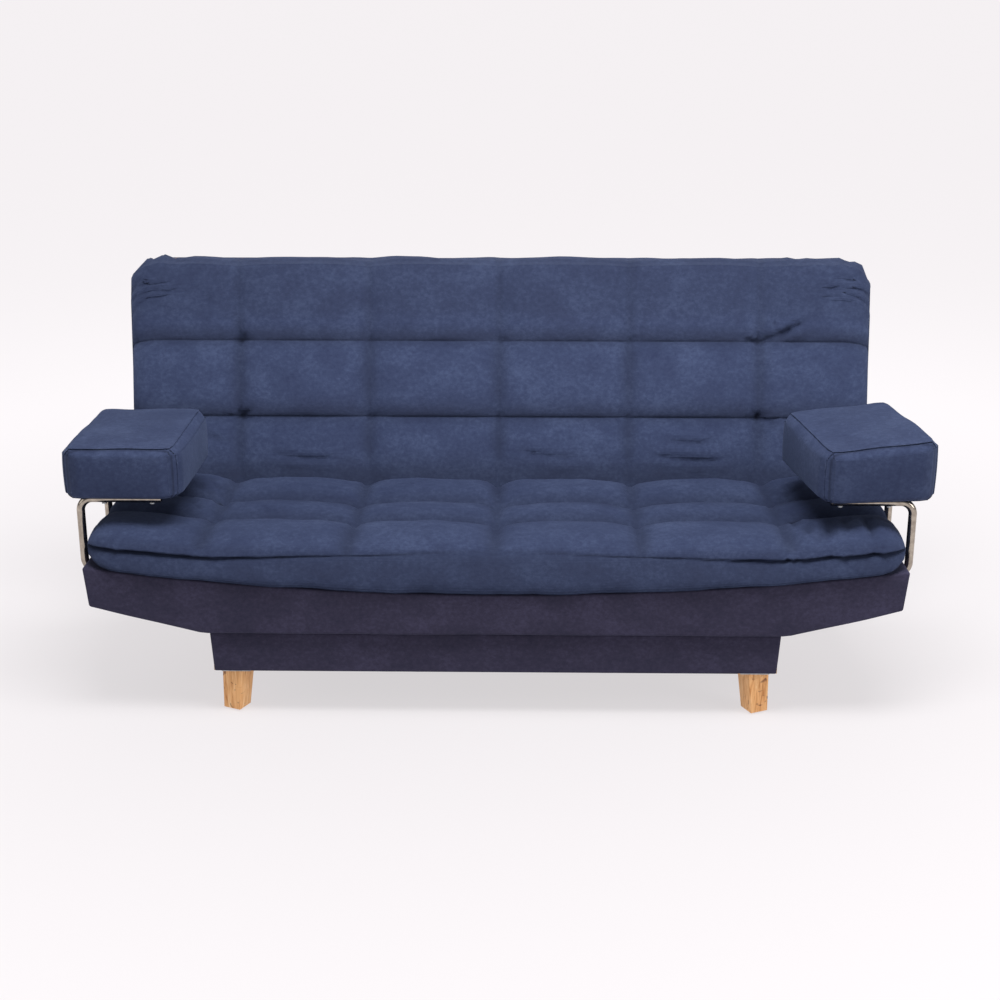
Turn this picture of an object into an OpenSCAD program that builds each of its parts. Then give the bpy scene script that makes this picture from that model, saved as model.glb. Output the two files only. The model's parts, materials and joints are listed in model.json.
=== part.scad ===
// Futon sofa bed: a boat-shaped seat section and a back section that fold flat on a plinth.

/* [Sections] */
// Length of the seat frame from end to end
frame_len = 1777; // [1480:1:2140]
// Depth of the seat frame from front to rear
frame_depth = 484; // [400:1:585]
// Gap between the plinth and the seat frame's bottom
frame_gap = 4; // [3:0.5:8]
// Height of the seat frame at the middle
frame_mid_h = 92; // [80:1:130]
// How much higher the frame's top is at its ends
frame_rise = 57; // [30:1:70]
// Height of the frame's end faces
frame_end_h = 88; // [80:1:110]
// Length of each slanted end of the frame's bottom
frame_slope_len = 252.5; // [200:0.5:300]

/* [Seat cushion] */
// Thickness of the seat cushion
cushion_h = 109; // [90:1:150]
// How much shorter the seat cushion is than the frame
cushion_short = 3; // [0:1:20]
// How far the cushion stands in front of the frame
cushion_lip = 12; // [0:1:25]

/* [Back] */
// How much longer the back is than the seat frame
back_longer = 11; // [0:1:20]
// Height of the back above the crease, along its slope
back_h = 545; // [450:1:650]
// Thickness of the back cushion's foam
back_foam = 105; // [80:1:120]
// Thickness of the back's wooden frame
back_rail_t = 39; // [25:1:45]
// Lean of the back from upright, degrees
back_lean = 13; // [8:1:18]
// Radius of the back's top corners
back_corner_r = 75; // [40:1:110]
// Depth of the recline pivot below the cushions' faces
pivot_depth = 35; // [33:1:42]

/* [Plinth and legs] */
// How much shorter the plinth is than the flat of the frame's bottom
plinth_short = 26; // [10:1:60]
// Setback of the plinth behind the frame's front
plinth_setback = 15; // [5:1:40]
// How far the plinth reaches behind the seat frame
plinth_behind = 116; // [100:1:140]
// Height of the plinth's side walls
plinth_h = 92; // [70:1:96]
// Height of the legs with their plates and glides
leg_h = 104; // [80:1:108]
// Width of a leg across its flats at the top
leg_top_w = 50; // [40:1:56]
// Width of a leg across its flats at the bottom
leg_foot_w = 42; // [30:1:50]
// Distance from the plinth's edges to a leg's middle
leg_inset = 38; // [36:1:70]
// How far a leg leans out to the side at its foot
leg_splay = 7; // [0:1:15]

/* [Arms] */
// Length of an arm pad from front to rear
pad_len = 358; // [300:1:400]
// Width of an arm pad
pad_w = 252; // [200:1:280]
// Thickness of an arm pad
pad_h = 110; // [80:1:130]
// Distance of the pad's front from the frame's front
pad_setback = 26; // [10:1:60]
// Diameter of the bent arm tubes
tube_d = 18; // [14:1:22]
// Wall of the arm tubes
tube_wall = 1.5; // [1:0.1:2.5]
// Bend radius of the arm tubes at their middle line
tube_bend_r = 28; // [24:1:34]
// Gap between a tube and the seat frame's end
tube_gap = 6; // [4:1:12]
// How much longer the tubes' upright is than the cushion is thick
tube_over = 1; // [0:1:20]
// Distance of the front tube from the pad's front
tube_front_in = 49; // [40:1:80]
// Distance of the rear tube from the pad's rear
tube_rear_in = 84; // [50:1:110]
// Turn of the right pad on its tubes, degrees
right_pad_turn = 7; // [0:1:10]

/* [Boards and sheet] */
// Thickness of the frame boards
board_t = 25; // [18:1:30]
// Thickness of the end boards and plinth rails
rail_t = 20; // [16:1:28]
// Thickness of the slats
slat_t = 12; // [8:1:16]
// Width of the slats
slat_w = 70; // [50:1:78]
// Thickness of cloth and its backing
cloth_t = 2.5; // [1.5:0.1:4]
// Thickness of the steel fittings
steel_t = 4; // [3:0.1:5]
// Diameter of the pivot pins
pin_d = 10; // [8:0.1:12]
// Diameter of the leg bolts
bolt_d = 8; // [6:0.1:10]
// Diameter of the small screws
screw_d = 6; // [4:0.1:7]

/* [Clearances] */
// Radial clearance of a pin or tube in its bore
run_fit = 0.05; // [0.02:0.01:0.1]
// Gap between pieces that pass each other
pass_gap = 0.5; // [0.3:0.1:1]
// Gap between the back's edge and the seat cushion as it turns
turn_gap = 1; // [0.5:0.1:3]

/* [Hidden] */
half = frame_len / 2;
flat_half = half - frame_slope_len;
end_lean = 9;
frame_z = leg_h + plinth_h + frame_gap;
frame_top_mid = frame_z + frame_mid_h;
frame_end_z = frame_top_mid + frame_rise - frame_end_h;
cushion_len = frame_len - cushion_short;
// The crease, where seat and back meet, lies this far behind the frame.
crease_behind = 16;
// The cushion's top lies this much lower than its thickness, for its sewn edge.
cushion_sink = 1.5;
crease_y = frame_depth + crease_behind;
crease_z = frame_top_mid + pass_gap + cushion_h - cushion_sink;
back_len = frame_len + back_longer;
back_t = back_foam + back_rail_t + 2 * cloth_t + 2 * pass_gap;
pivot_w = pivot_depth;
// The pivot lies equally deep under the seat's top and behind the back's face.
pivot_z = crease_z - pivot_depth;
pivot_y = crease_y + (pivot_depth - pivot_depth * sin(back_lean)) / cos(back_lean);
pivot_u = (pivot_y - crease_y) * sin(back_lean) - pivot_depth * cos(back_lean);
back_u0 = -(pivot_y - crease_y) + pivot_u + 5;
swing_r = sqrt(pow(back_u0 - pivot_u, 2) + pow(pivot_w, 2));
// The recline fittings stand this far in from the frame's ends, in notches in the covers.
fit_in = 146.5;
fit_x = half - fit_in;
notch_w = 60;
seat_notch_in = 30;
seat_notch_out = 10;
wing_foot_w = 22;
wing_drop = 9;
wing_rise = 50;
wing_r = 16;
foot_t = 3;
back_foot_u = [-18, 38];
plinth_half = flat_half - plinth_short / 2;
plinth_y1 = frame_depth + plinth_behind;
plinth_top = leg_h + plinth_h;
rail_top = plinth_top - 3;
lift_in = 65;
lift_x = plinth_half - lift_in;
lift_y = frame_depth + 41;
lift_z = frame_z + 26;
lift_foot_w = 46;
lift_foot_z = [4, 74];
lug_r = 12;
bracket_foot_w = 22;
bracket_foot_half = 17;
pin_head_t = 3;
pin_spare = 6;
rear_y = crease_y + back_t * cos(back_lean) + back_h * sin(back_lean);
mid_y = (rear_y - cushion_lip) / 2;
leg_x = plinth_half - leg_inset - 12;
leg_y0 = plinth_setback + leg_inset;
leg_y1 = plinth_y1 - leg_inset;
leg_turn = 25;
bolt_off = 8;
bolt_len = 90;
bolt_in_leg = 44;
glide_h = 4;
glide_r = 14;
plate_t = 4;
plate_w = 64;
block_w = 62;
hinge_rail_y = lift_y - 25;
hinge_rail_t = 2 * board_t - 14;
cross_share = 0.4446;
cross_x = half * cross_share;
slat_end_in = 188.5;
slat_pitch = (half - slat_end_in) / 4;
back_edge = 8;
back_rail_w = 40;
back_top_w = 55;
back_low_u = -18;
back_inset = 5;
back_slat_end_in = 222;
back_slat_pitch = (back_len / 2 - back_slat_end_in) / 3;
tube_r = tube_d / 2;
tube_x = half + tube_gap + tube_r;
bend_x = tube_x - tube_bend_r;
// The sockets lie this far under the frame's top at its ends, clear of the cushion.
socket_drop = 22;
socket_z = frame_top_mid + frame_rise - tube_r - socket_drop;
socket_wall = 3;
socket_len = 110;
stub_len = socket_len - 5;
tube_rise = cushion_h + tube_over;
tube_front_y = pad_setback + tube_front_in;
tube_rear_y = pad_setback + pad_len - tube_rear_in;
// The pad reaches this far out past the middle of the tubes' upper bends.
pad_out = 53;
top_run = pad_w - 102;
pad_mid_x = pad_out - pad_w / 2;
pad_mid_y = pad_setback + pad_len / 2;
board_in = 56;
pad_board_t = 15;
pad_plate_t = 3;
pad_plate_w = pad_w - 92;
pad_plate_len = pad_len - 58;
screw_places = [-25, -top_run + 20];
screw_head_t = 2.5;
outline_steps = 36;
wood = "burlywood";
navy = "#3a4866";
steel = "silver";

// Height of the frame's top edge at x.
function top_at(x) = frame_top_mid + frame_rise * pow(x / half, 2);
// Where the bolt of a front (0) or rear (1) leg stands, front to rear.
function bolt_at(end) = end == 0 ? leg_y0 + bolt_off : leg_y1 - bolt_off;
// A row of points along the frame's top edge, from x0 to x1, lifted by dz.
function top_points(x0, x1, dz) =
    [for (i = [0:outline_steps]) let (x = x0 + (x1 - x0) * i / outline_steps) [x, top_at(x) + dz]];

// Everything is drawn with y = 0 at the frame's front, then centred front to rear.
module centred() {
    translate([0, -mid_y, 0]) children();
}

// Turns an outline in x and z into a board from y0 to y1.
module board(y0, y1) {
    translate([0, y1, 0]) rotate([90, 0, 0]) linear_extrude(y1 - y0) children();
}

// Turns an outline in y and z into a plate from x0 to x1.
module plate(x0, x1) {
    translate([x0, 0, 0]) rotate([90, 0, 90]) linear_extrude(x1 - x0) children();
}

module block(x0, x1, y0, y1, z0, z1) {
    translate([x0, y0, z0]) cube([x1 - x0, y1 - y0, z1 - z0]);
}

module both_sides() {
    children();
    mirror([1, 0, 0]) children();
}

// Coordinates of the back section: x, depth behind its face, height up its slope.
module on_back() {
    centred() translate([0, crease_y, crease_z]) rotate([-back_lean, 0, 0]) children();
}

// The boat-shaped outline of the seat frame, shrunk by inset.
module boat(inset) {
    polygon(concat(top_points(-half + inset, half - inset, -inset), [
        [half - inset - end_lean, frame_end_z + inset],
        [flat_half - inset * 0.2, frame_z + inset],
        [-flat_half + inset * 0.2, frame_z + inset],
        [-half + inset + end_lean, frame_end_z + inset]]));
}

// ---- Plinth ----
module plinth_rail(y0) {
    color(wood) centred()
        block(-plinth_half + cloth_t, plinth_half - cloth_t, y0, y0 + rail_t, leg_h, rail_top);
}

module plinth_front_rail() {
    plinth_rail(plinth_setback + cloth_t);
}

module plinth_rear_rail() {
    plinth_rail(plinth_y1 - cloth_t - rail_t);
}

module plinth_right_rail() {
    color(wood) centred()
        block(plinth_half - cloth_t - rail_t, plinth_half - cloth_t,
            plinth_setback + cloth_t + rail_t, plinth_y1 - cloth_t - rail_t, leg_h, rail_top);
}

module plinth_left_rail() {
    mirror([1, 0, 0]) plinth_right_rail();
}

module hinge_rail() {
    color(wood) centred()
        block(-plinth_half + cloth_t + rail_t, plinth_half - cloth_t - rail_t,
            hinge_rail_y, hinge_rail_y + hinge_rail_t, leg_h + block_w, rail_top);
}

module at_legs() {
    centred() both_sides() for (y = [leg_y0, leg_y1]) translate([leg_x, y, 0]) children();
}

module corner_blocks() {
    edge = leg_x + block_w / 2 - (plinth_half - cloth_t - rail_t);
    color(wood) centred() both_sides() for (end = [0, 1]) {
        y_in = plinth_setback + cloth_t + rail_t;
        y_at = end == 0 ? y_in : plinth_y1 - cloth_t - rail_t - block_w;
        x_at = leg_x + block_w / 2 - max(edge, 0) - block_w;
        difference() {
            translate([x_at, y_at, leg_h]) cube([block_w, block_w, block_w - 2]);
            translate([leg_x, bolt_at(end), leg_h - 1])
                cylinder(d = bolt_d + 2 * run_fit, h = block_w + 2, $fn = 32);
        }
    }
}

module plinth_cover() {
    color(navy) centred() difference() {
        block(-plinth_half, plinth_half, plinth_setback, plinth_y1, leg_h, plinth_top);
        block(-plinth_half + cloth_t, plinth_half - cloth_t,
            plinth_setback + cloth_t, plinth_y1 - cloth_t, leg_h - 1, plinth_top + 1);
    }
}

module dust_cover() {
    x = leg_x - plate_w / 2 - 6;
    color("dimgray") centred()
        block(-x, x, plinth_setback + cloth_t, plinth_y1 - cloth_t, leg_h - 1, leg_h);
}

// A square, tapered leg that leans out, turned so that two of its faces show.
module leg(side, end) {
    y = end == 0 ? leg_y0 : leg_y1;
    color(wood) centred() translate([side * leg_x, y, 0]) difference() {
        hull() {
            translate([0, 0, leg_h - plate_t - 1]) rotate([0, 0, side * leg_turn])
                translate([-leg_top_w / 2, -leg_top_w / 2, 0]) cube([leg_top_w, leg_top_w, 1]);
            translate([side * leg_splay, 0, glide_h]) rotate([0, 0, side * leg_turn])
                translate([-leg_foot_w / 2, -leg_foot_w / 2, 0]) cube([leg_foot_w, leg_foot_w, 1]);
        }
        translate([0, bolt_at(end) - y, leg_h - bolt_in_leg - 1])
            cylinder(d = bolt_d + 2 * run_fit, h = bolt_in_leg + 2, $fn = 32);
    }
}

module leg_front_left() {
    leg(-1, 0);
}

module leg_front_right() {
    leg(1, 0);
}

module leg_rear_left() {
    leg(-1, 1);
}

module leg_rear_right() {
    leg(1, 1);
}

module leg_plates() {
    color(steel) centred() both_sides() for (end = [0, 1]) {
        y = end == 0 ? leg_y0 : leg_y1;
        translate([leg_x, y, leg_h - plate_t]) difference() {
            translate([-plate_w / 2, -plate_w / 2, 0]) cube([plate_w, plate_w, plate_t]);
            translate([0, bolt_at(end) - y, -1])
                cylinder(d = bolt_d + 2 * run_fit, h = plate_t + 2, $fn = 32);
        }
    }
}

module leg_bolts() {
    color(steel) centred() both_sides() for (end = [0, 1]) {
        translate([leg_x, bolt_at(end), leg_h - bolt_in_leg])
            cylinder(d = bolt_d, h = bolt_len, $fn = 32);
    }
}

module glides() {
    color("dimgray") at_legs() translate([leg_splay, 0, 0])
        cylinder(r = glide_r, h = glide_h, $fn = 48);
}

// ---- Hinge fittings between plinth and seat ----
module lug_outline(cy, cz, r, pts) {
    difference() {
        union() {
            translate([cy, cz]) circle(r = r, $fn = 48);
            polygon(pts);
        }
        translate([cy, cz]) circle(d = pin_d + 2 * run_fit, $fn = 48);
    }
}

module base_bracket_right() {
    foot_y = [lift_y - bracket_foot_half, lift_y + bracket_foot_half];
    color(steel) centred() {
        block(lift_x - bracket_foot_w - steel_t, lift_x - pass_gap, foot_y[0], foot_y[1],
            rail_top, rail_top + steel_t);
        plate(lift_x - steel_t, lift_x - pass_gap)
            lug_outline(lift_y, lift_z, lug_r, [
                [lift_y - lug_r, lift_z], [foot_y[0], rail_top + steel_t],
                [foot_y[1], rail_top + steel_t], [lift_y + lug_r, lift_z],
                [lift_y + lug_r * 0.6, lift_z - lug_r * 0.8],
                [lift_y - lug_r * 0.6, lift_z - lug_r * 0.8]]);
    }
}

module base_bracket_left() {
    mirror([1, 0, 0]) base_bracket_right();
}

module lift_plate_right() {
    y = frame_depth + pass_gap;
    color(steel) centred() {
        block(lift_x, lift_x + lift_foot_w, y, y + foot_t,
            frame_z + lift_foot_z[0], frame_z + lift_foot_z[1]);
        plate(lift_x, lift_x + steel_t) lug_outline(lift_y, lift_z, lug_r, [
            [y, frame_z + 14], [y, frame_z + 60], [lift_y, lift_z + lug_r],
            [lift_y - lug_r, lift_z], [lift_y, lift_z - lug_r]]);
    }
}

module lift_plate_left() {
    mirror([1, 0, 0]) lift_plate_right();
}

// A headed pivot pin through two plates that meet at x.
module pivot_pin(x, y, z) {
    translate([x - steel_t - pin_spare, y, z]) rotate([0, 90, 0]) union() {
        cylinder(d = pin_d, h = 2 * (steel_t + pin_spare), $fn = 48);
        cylinder(d = pin_d + 2 * pin_head_t, h = pin_head_t, $fn = 48);
    }
}

module lift_pins() {
    color(steel) centred() both_sides() pivot_pin(lift_x, lift_y, lift_z);
}

// ---- Seat section ----
module seat_front_rail() {
    color(wood) centred() board(cloth_t, cloth_t + board_t) boat(cloth_t);
}

module seat_rear_rail() {
    color(wood) centred() board(frame_depth - cloth_t - board_t, frame_depth - cloth_t)
        boat(cloth_t);
}

module seat_right_end() {
    x1 = half - cloth_t - end_lean - pass_gap;
    z0 = frame_end_z + cloth_t;
    color(wood) centred() difference() {
        block(x1 - rail_t, x1, cloth_t + board_t, frame_depth - cloth_t - board_t,
            z0, top_at(x1 - rail_t) - cloth_t);
        for (y = [tube_front_y, tube_rear_y]) translate([x1 - rail_t - 1, y, socket_z])
            rotate([0, 90, 0]) cylinder(r = tube_r + socket_wall + 0.2, h = rail_t + 2, $fn = 48);
    }
}

module seat_left_end() {
    mirror([1, 0, 0]) seat_right_end();
}

module seat_cross_rails() {
    color(wood) centred() both_sides() block(cross_x, cross_x + board_t, cloth_t + board_t,
        frame_depth - cloth_t - board_t, frame_z + cloth_t, top_at(cross_x) - slat_t - 20);
}

module seat_slats() {
    color(wood) centred() for (i = [-4:4]) {
        x = i * slat_pitch;
        z = top_at(max(abs(x) - slat_w / 2, 0)) - cloth_t;
        block(x - slat_w / 2, x + slat_w / 2, cloth_t + board_t,
            frame_depth - cloth_t - board_t, z - slat_t, z);
    }
}

module seat_frame_cover() {
    color(navy) centred() difference() {
        board(0, frame_depth) boat(0);
        board(cloth_t, frame_depth - cloth_t) boat(cloth_t);
        board(cloth_t, frame_depth - cloth_t) translate([0, cloth_t + 2]) boat(cloth_t);
        both_sides() for (y = [tube_front_y, tube_rear_y]) translate([half - 40, y, socket_z + 2])
            rotate([0, 90, 0]) cylinder(r = tube_r + socket_wall + 2.5, h = 60, $fn = 48);
    }
}

// One plain crowned slab with round ends, hollowed at the rear where the back turns.
module seat_cushion() {
    end_r = (cushion_h - cushion_sink) / 2;
    x1 = cushion_len / 2 - end_r;
    z1 = top_at(x1) + pass_gap + end_r;
    arc = [for (a = [80:-10:-80]) [x1 + end_r * cos(a), z1 + end_r * sin(a)]];
    mirrored = [for (i = [len(arc) - 1:-1:0]) [-arc[i][0], arc[i][1]]];
    color(navy) centred() difference() {
        board(-cushion_lip, crease_y - turn_gap)
            polygon(concat(top_points(-x1, x1, 2 * end_r + pass_gap), arc,
                top_points(x1, -x1, pass_gap), mirrored));
        translate([-half, pivot_y, pivot_z]) rotate([0, 90, 0])
            cylinder(r = swing_r + turn_gap, h = frame_len, $fn = 96);
        both_sides() block(fit_x - seat_notch_in, fit_x + seat_notch_out, frame_depth - 2,
            crease_y + 20, frame_z, pivot_z);
    }
}

// ---- Recline fittings between seat and back ----
module seat_wing_right() {
    y = frame_depth + pass_gap;
    z0 = frame_z + wing_rise;
    z1 = top_at(fit_x - wing_foot_w) - wing_drop;
    color(steel) centred() {
        block(fit_x - wing_foot_w, fit_x, y, y + foot_t, z0, z1);
        plate(fit_x - steel_t, fit_x) lug_outline(pivot_y, pivot_z, wing_r, [
            [y, z0], [y, z1], [pivot_y - wing_r, pivot_z], [pivot_y, pivot_z - 7],
            [pivot_y + wing_r * 0.8, pivot_z - wing_r * 0.6]]);
    }
}

module seat_wing_left() {
    mirror([1, 0, 0]) seat_wing_right();
}

module recline_pins() {
    color(steel) centred() both_sides() pivot_pin(fit_x, pivot_y, pivot_z);
}

module back_wing_right() {
    w1 = back_foam + pass_gap;
    u = back_foot_u;
    color(steel) on_back() {
        block(fit_x + pass_gap, fit_x + wing_foot_w + 2, w1 - foot_t, w1, u[0], u[1]);
        plate(fit_x + pass_gap, fit_x + pass_gap + steel_t)
            lug_outline(pivot_w, pivot_u, wing_r, [
                [w1, u[0]], [w1, u[1]], [pivot_w - 2, pivot_u + wing_r],
                [pivot_w + 7, pivot_u], [pivot_w + 9, pivot_u - wing_r * 0.8]]);
    }
}

module back_wing_left() {
    mirror([1, 0, 0]) back_wing_right();
}

module arm_sockets_right() {
    x1 = bend_x - pass_gap;
    color(steel) centred() for (y = [tube_front_y, tube_rear_y])
        translate([x1 - socket_len, y, socket_z]) rotate([0, 90, 0]) linear_extrude(socket_len)
            ring(tube_r + run_fit, tube_r + socket_wall);
}

module arm_sockets_left() {
    mirror([1, 0, 0]) arm_sockets_right();
}

// ---- Back section ----
module back_outline(inset) {
    x = back_len / 2 - inset;
    r = back_corner_r - inset;
    z1 = back_h - inset;
    union() {
        translate([-x, back_u0 + inset]) square([2 * x, z1 - r - back_u0 - inset]);
        translate([-x + r, z1 - r - 1]) square([2 * (x - r), r + 1]);
        for (s = [-1, 1]) translate([s * (x - r), z1 - r]) circle(r = r, $fn = 96);
    }
}

module fitting_notches(w0, w1) {
    both_sides() block(fit_x - notch_w / 2, fit_x + notch_w / 2, w0, w1, back_u0 - 5, 45);
}

module back_cushion() {
    color(navy) on_back() difference() {
        board(0, back_foam) back_outline(0);
        fitting_notches(12, back_foam + 1);
    }
}

module back_cover() {
    w0 = back_foam + pass_gap;
    w1 = back_t;
    color(navy) on_back() difference() {
        board(w0, w1) back_outline(back_inset);
        board(w0 - 1, w1 - cloth_t) back_outline(back_inset + cloth_t);
        fitting_notches(w0 - 1, w1 - 10);
    }
}

module back_rail(x0, x1, u0, u1) {
    w0 = back_foam + pass_gap;
    color(wood) on_back() block(x0, x1, w0, w0 + back_rail_t, u0, u1);
}

module back_top_rail() {
    x = back_len / 2 - back_corner_r - 10;
    back_rail(-x, x, back_h - back_edge - back_top_w, back_h - back_edge);
}

module back_bottom_rail() {
    x = back_len / 2 - back_edge - back_rail_w;
    back_rail(-x, x, back_low_u, back_rail_w);
}

module back_right_rail() {
    x1 = back_len / 2 - back_edge;
    back_rail(x1 - back_rail_w, x1, back_u0 + back_edge, back_h - back_corner_r - 10);
}

module back_left_rail() {
    mirror([1, 0, 0]) back_right_rail();
}

module back_slats() {
    w0 = back_foam + pass_gap;
    color(wood) on_back() for (i = [-3:3]) {
        x = i * back_slat_pitch;
        block(x - slat_w / 2, x + slat_w / 2, w0, w0 + slat_t, back_rail_w,
            back_h - back_edge - back_top_w);
    }
}

// ---- Arms ----
module ring(r_in, r_out) {
    difference() {
        circle(r = r_out, $fn = 48);
        circle(r = r_in, $fn = 48);
    }
}

module tube_run(length) {
    linear_extrude(length) ring(tube_r - tube_wall, tube_r);
}

// Shapes placed on the tubes' top runs; the origin is the upper bend's middle.
module on_top_run() {
    translate([bend_x, 0, socket_z + tube_bend_r + tube_rise]) children();
}

// One bent tube: a stub in the seat's end, a bend, the upright, a bend and the top run.
module arm_tube(y) {
    color(steel) centred() translate([0, y, 0]) difference() {
        union() {
            translate([bend_x - stub_len, 0, socket_z]) rotate([0, 90, 0]) tube_run(stub_len);
            translate([bend_x, 0, socket_z + tube_bend_r]) rotate([90, 0, 0])
                rotate([0, 0, -90]) rotate_extrude(angle = 90, $fn = 96)
                    translate([tube_bend_r, 0]) ring(tube_r - tube_wall, tube_r);
            translate([tube_x, 0, socket_z + tube_bend_r]) tube_run(tube_rise);
            translate([bend_x, 0, socket_z + tube_bend_r + tube_rise]) rotate([90, 0, 0])
                rotate_extrude(angle = 90, $fn = 96)
                    translate([tube_bend_r, 0]) ring(tube_r - tube_wall, tube_r);
            on_top_run() translate([0, 0, tube_bend_r]) rotate([0, -90, 0])
                tube_run(top_run);
        }
        on_top_run() for (x = screw_places) translate([x, 0, 0])
            cylinder(d = screw_d + 2 * run_fit, h = 2 * tube_bend_r, $fn = 32);
    }
}

// Shapes placed on the arm's pad; z = 0 lies on the tops of its tubes.
module on_pad(turn) {
    centred() on_top_run() translate([pad_mid_x, pad_mid_y, tube_bend_r + tube_r])
        rotate([0, 0, turn]) children();
}

module pad_screw_holes() {
    centred() on_top_run() for (x = screw_places, y = [tube_front_y, tube_rear_y])
        translate([x, y, 0]) cylinder(d = screw_d + 2 * run_fit, h = 3 * tube_bend_r, $fn = 32);
}

module pad_plate(turn) {
    color(steel) difference() {
        on_pad(turn) translate([-pad_plate_w / 2, -pad_plate_len / 2, 0])
            cube([pad_plate_w, pad_plate_len, pad_plate_t]);
        pad_screw_holes();
    }
}

module pad_board(turn) {
    w = pad_w - board_in;
    l = pad_len - board_in;
    color(wood) difference() {
        on_pad(turn) translate([-w / 2, -l / 2, pad_plate_t]) cube([w, l, pad_board_t]);
        pad_screw_holes();
    }
}

module pad_screws() {
    color(steel) centred() on_top_run()
        for (x = screw_places, y = [tube_front_y, tube_rear_y])
            translate([x, y, tube_bend_r - tube_r - screw_head_t]) union() {
                cylinder(d = screw_d, h = tube_d + pad_plate_t + pad_board_t, $fn = 32);
                cylinder(d = screw_d * 1.8, h = screw_head_t, $fn = 32);
            }
}

module pad(turn) {
    w = pad_w - board_in + 1;
    l = pad_len - board_in + 1;
    color(navy) on_pad(turn) difference() {
        translate([-pad_w / 2, -pad_len / 2, pass_gap]) cube([pad_w, pad_len, pad_h]);
        translate([-w / 2, -l / 2, -1]) cube([w, l, pad_plate_t + pad_board_t + 1.5]);
    }
}

module arm_right_front_tube() {
    arm_tube(tube_front_y);
}

module arm_right_rear_tube() {
    arm_tube(tube_rear_y);
}

module arm_right_plate() {
    pad_plate(right_pad_turn);
}

module arm_right_board() {
    pad_board(right_pad_turn);
}

module arm_right_screws() {
    pad_screws();
}

module arm_right_pad() {
    pad(right_pad_turn);
}

module arm_left_front_tube() {
    mirror([1, 0, 0]) arm_tube(tube_front_y);
}

module arm_left_rear_tube() {
    mirror([1, 0, 0]) arm_tube(tube_rear_y);
}

module arm_left_plate() {
    mirror([1, 0, 0]) pad_plate(0);
}

module arm_left_board() {
    mirror([1, 0, 0]) pad_board(0);
}

module arm_left_screws() {
    mirror([1, 0, 0]) pad_screws();
}

module arm_left_pad() {
    mirror([1, 0, 0]) pad(0);
}

plinth_front_rail();
plinth_rear_rail();
plinth_left_rail();
plinth_right_rail();
hinge_rail();
corner_blocks();
plinth_cover();
dust_cover();
leg_front_left();
leg_front_right();
leg_rear_left();
leg_rear_right();
leg_plates();
leg_bolts();
glides();
base_bracket_left();
base_bracket_right();
seat_front_rail();
seat_rear_rail();
seat_left_end();
seat_right_end();
seat_cross_rails();
seat_slats();
seat_frame_cover();
seat_cushion();
lift_plate_left();
lift_plate_right();
lift_pins();
seat_wing_left();
seat_wing_right();
recline_pins();
arm_sockets_left();
arm_sockets_right();
back_top_rail();
back_bottom_rail();
back_left_rail();
back_right_rail();
back_slats();
back_cushion();
back_cover();
back_wing_left();
back_wing_right();
arm_left_front_tube();
arm_left_rear_tube();
arm_left_plate();
arm_left_board();
arm_left_screws();
arm_left_pad();
arm_right_front_tube();
arm_right_rear_tube();
arm_right_plate();
arm_right_board();
arm_right_screws();
arm_right_pad();
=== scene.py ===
import json
import math

import bpy
import numpy as np
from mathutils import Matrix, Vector


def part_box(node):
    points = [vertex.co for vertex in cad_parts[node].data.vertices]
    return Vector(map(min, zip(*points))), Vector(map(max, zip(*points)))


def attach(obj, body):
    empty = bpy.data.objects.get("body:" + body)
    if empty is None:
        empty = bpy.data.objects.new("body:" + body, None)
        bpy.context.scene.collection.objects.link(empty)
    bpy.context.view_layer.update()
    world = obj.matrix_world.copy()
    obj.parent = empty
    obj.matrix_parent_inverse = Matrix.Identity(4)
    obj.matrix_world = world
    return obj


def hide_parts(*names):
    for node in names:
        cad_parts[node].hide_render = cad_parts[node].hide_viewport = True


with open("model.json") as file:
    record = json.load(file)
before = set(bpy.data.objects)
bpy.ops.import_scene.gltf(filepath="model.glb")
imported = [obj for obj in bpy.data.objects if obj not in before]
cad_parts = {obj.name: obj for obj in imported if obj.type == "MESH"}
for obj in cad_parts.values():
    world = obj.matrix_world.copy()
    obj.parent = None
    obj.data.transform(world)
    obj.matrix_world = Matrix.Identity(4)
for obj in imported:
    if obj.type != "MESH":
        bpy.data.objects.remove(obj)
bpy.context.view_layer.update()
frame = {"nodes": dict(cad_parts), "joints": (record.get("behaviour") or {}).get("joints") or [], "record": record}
nodes = frame["nodes"]

# The sofa stands in a studio: a pale floor, one broad soft light
# above and in front, a weaker one on each side, and a camera at standing eye level.
bpy.ops.object.select_all(action="DESELECT")
bpy.ops.object.camera_add(location=(0.063, -3.607, 1.562))
camera = bpy.context.object
camera.rotation_euler = (math.radians(90 - 18.07), 0, math.radians(0.91))
camera.data.lens = 57.75
camera.data.sensor_width = 36
bpy.context.scene.camera = camera
bpy.context.scene.view_settings.view_transform = "Standard"


def soft_light(name, place, aim, size, watts):
    bpy.ops.object.light_add(type="AREA", location=place)
    lamp = bpy.context.object
    lamp.name = name
    lamp.data.shape = "RECTANGLE"
    lamp.data.size, lamp.data.size_y = size
    lamp.data.energy = watts
    lamp.rotation_euler = (Vector(aim) - Vector(place)).to_track_quat("-Z", "Y").to_euler()


soft_light("key_light", (0.3, -1.1, 3.5), (0, 0.05, 0.5), (2.4, 1.2), 150)
soft_light("left_light", (-3.4, -1.6, 1.7), (0, 0, 0.4), (1.6, 2.0), 12)
soft_light("right_light", (3.4, -1.9, 1.7), (0, 0, 0.4), (1.6, 2.0), 42)
soft_light("rear_light", (0, 3.2, 2.8), (0, 0, 0.5), (3.0, 1.6), 22)


def linear(hex_colour):
    """An sRGB hex colour as linear red, green, blue and an alpha of 1."""
    parts = [int(hex_colour[i:i + 2], 16) / 255 for i in (1, 3, 5)]
    return tuple(c / 12.92 if c <= 0.04045 else ((c + 0.055) / 1.055) ** 2.4 for c in parts) + (1,)


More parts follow.
